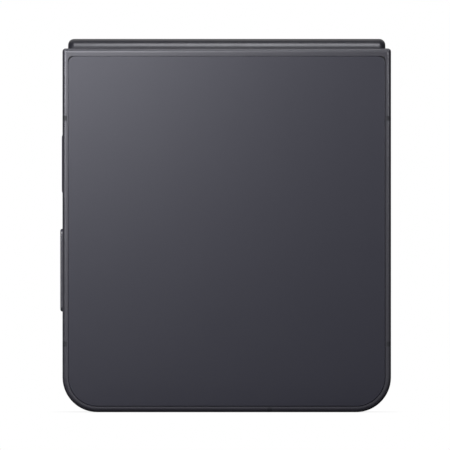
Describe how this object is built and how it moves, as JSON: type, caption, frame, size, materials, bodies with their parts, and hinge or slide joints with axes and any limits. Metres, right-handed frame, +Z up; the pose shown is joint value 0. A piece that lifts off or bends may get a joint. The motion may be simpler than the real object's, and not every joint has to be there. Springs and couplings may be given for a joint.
{
  "type": "foldable smartphone",
  "caption": "Clamshell foldable phone in dark graphite, folded shut, with a geared hinge, a plain glass back, a cover screen and rear cameras.",
  "frame": {"origin": "middle of the bottom edge of the folded phone, on the surface it stands on", "axes": "+X across the width, +Y through the thickness from the plain half to the camera half, +Z up to the hinge"},
  "size_m": [0.0758, 0.0145, 0.0855],
  "materials": {
    "frame_metal": "satin anodised graphite",
    "antenna_plastic": "satin",
    "back_glass": "frosted opaque glass, backed with a dark film",
    "cover_glass": "polished clear glass over a display",
    "adhesive": "matt",
    "bezel_rubber": "matt",
    "main_screen": "glossy, display off",
    "support_steel": "brushed",
    "battery_wrap": "satin film",
    "ferrite": "matt",
    "coil_copper": "satin copper",
    "circuit_board": "solder mask",
    "port_steel": "satin",
    "module_plastic": "matt",
    "module_steel": "satin",
    "hinge_steel": "satin",
    "screw_steel": "satin",
    "spine_metal": "satin anodised graphite",
    "cover_screen": "glossy, display off",
    "camera_black": "glossy black",
    "ring_metal": "polished edge",
    "lens_glass": "polished, coated",
    "flash_lens": "glossy diffuser",
    "key_metal": "satin anodised graphite",
    "tray_metal": "satin anodised graphite"
  },
  "bodies": {
    "lower_half": {"lower_frame": "frame_metal", "lower_antenna_breaks": "antenna_plastic", "lower_back_glass": "back_glass", "lower_glass_adhesive": "adhesive", "lower_bezel": "bezel_rubber", "main_screen_lower": "main_screen", "lower_screen_support": "support_steel", "lower_battery": "battery_wrap", "ferrite_sheet": "ferrite", "charging_coil": "coil_copper", "sub_board": "circuit_board", "usb_c_socket": "port_steel", "loudspeaker": "module_plastic", "vibration_motor": "module_steel", "microphone": "module_steel", "lower_screws": "screw_steel", "lower_arm_left": "hinge_steel", "lower_arm_right": "hinge_steel"},
    "spine": {"spine_cover": "spine_metal", "hinge_bracket_left": "hinge_steel", "hinge_bracket_right": "hinge_steel", "gear_pins": "hinge_steel", "main_screen_fold": "main_screen"},
    "sync_gear_1": {"sync_gear_1": "hinge_steel"},
    "sync_gear_2": {"sync_gear_2": "hinge_steel"},
    "sync_gear_3": {"sync_gear_3": "hinge_steel"},
    "sync_gear_4": {"sync_gear_4": "hinge_steel"},
    "upper_half": {"upper_frame": "frame_metal", "upper_antenna_breaks": "antenna_plastic", "cover_glass": "cover_glass", "cover_glass_adhesive": "adhesive", "cover_screen": "cover_screen", "upper_bezel": "bezel_rubber", "main_screen_upper": "main_screen", "upper_screen_support": "support_steel", "upper_battery": "battery_wrap", "main_board": "circuit_board", "shield_cans": "module_steel", "rear_camera_outer": "camera_black", "rear_camera_inner": "camera_black", "camera_rings": "ring_metal", "camera_windows": "lens_glass", "flash": "flash_lens", "front_camera": "camera_black", "earpiece": "module_plastic", "sim_cage": "module_steel", "key_switches": "module_steel", "upper_screws": "screw_steel", "upper_arm_left": "hinge_steel", "upper_arm_right": "hinge_steel"},
    "side_key": {"side_key": "key_metal"},
    "volume_key": {"volume_key": "key_metal"},
    "sim_tray": {"sim_tray": "tray_metal"}
  },
  "joints": [
    {"name": "fold", "type": "hinge", "parent": "lower_half", "child": "spine", "pos_m": [0, -0.00165, 0.08165], "axis": [1, 0, 0], "range_deg": [0, 90], "deforming": ["main_screen_fold"]},
    {"name": "upper_fold", "type": "hinge", "parent": "spine", "child": "upper_half", "pos_m": [0, 0.00165, 0.08165], "axis": [1, 0, 0], "range_deg": [0, 90], "deforming": ["main_screen_fold"]},
    {"name": "gear_turn_1", "type": "hinge", "parent": "spine", "child": "sync_gear_1", "pos_m": [0, -0.00254, 0.08333], "axis": [1, 0, 0], "range_deg": [0, 81]},
    {"name": "gear_turn_2", "type": "hinge", "parent": "spine", "child": "sync_gear_2", "pos_m": [0, -0.0008, 0.08378], "axis": [1, 0, 0], "range_deg": [-101.25, 0]},
    {"name": "gear_turn_3", "type": "hinge", "parent": "spine", "child": "sync_gear_3", "pos_m": [0, 0.0008, 0.08378], "axis": [1, 0, 0], "range_deg": [0, 101.25]},
    {"name": "gear_turn_4", "type": "hinge", "parent": "spine", "child": "sync_gear_4", "pos_m": [0, 0.00254, 0.08333], "axis": [1, 0, 0], "range_deg": [-81, 0]},
    {"name": "side_key_press", "type": "slide", "parent": "upper_half", "child": "side_key", "axis": [1, 0, 0], "range_m": [0, 0.00025], "stiffness_N_per_m": 4000},
    {"name": "volume_key_rock", "type": "hinge", "parent": "upper_half", "child": "volume_key", "pos_m": [-0.0368, 0.0036, 0.03247], "axis": [0, 1, 0], "range_deg": [-1.2, 1.2], "stiffness_Nm_per_rad": 0.05},
    {"name": "sim_tray_slide", "type": "slide", "parent": "upper_half", "child": "sim_tray", "axis": [1, 0, 0], "range_m": [0, 0.016]}
  ],
  "couplings": [
    {"joint": "upper_fold", "follows": "fold", "ratio": 1},
    {"joint": "gear_turn_1", "follows": "fold", "ratio": 0.9},
    {"joint": "gear_turn_2", "follows": "fold", "ratio": -1.125},
    {"joint": "gear_turn_3", "follows": "fold", "ratio": 1.125},
    {"joint": "gear_turn_4", "follows": "fold", "ratio": -0.9}
  ]
}
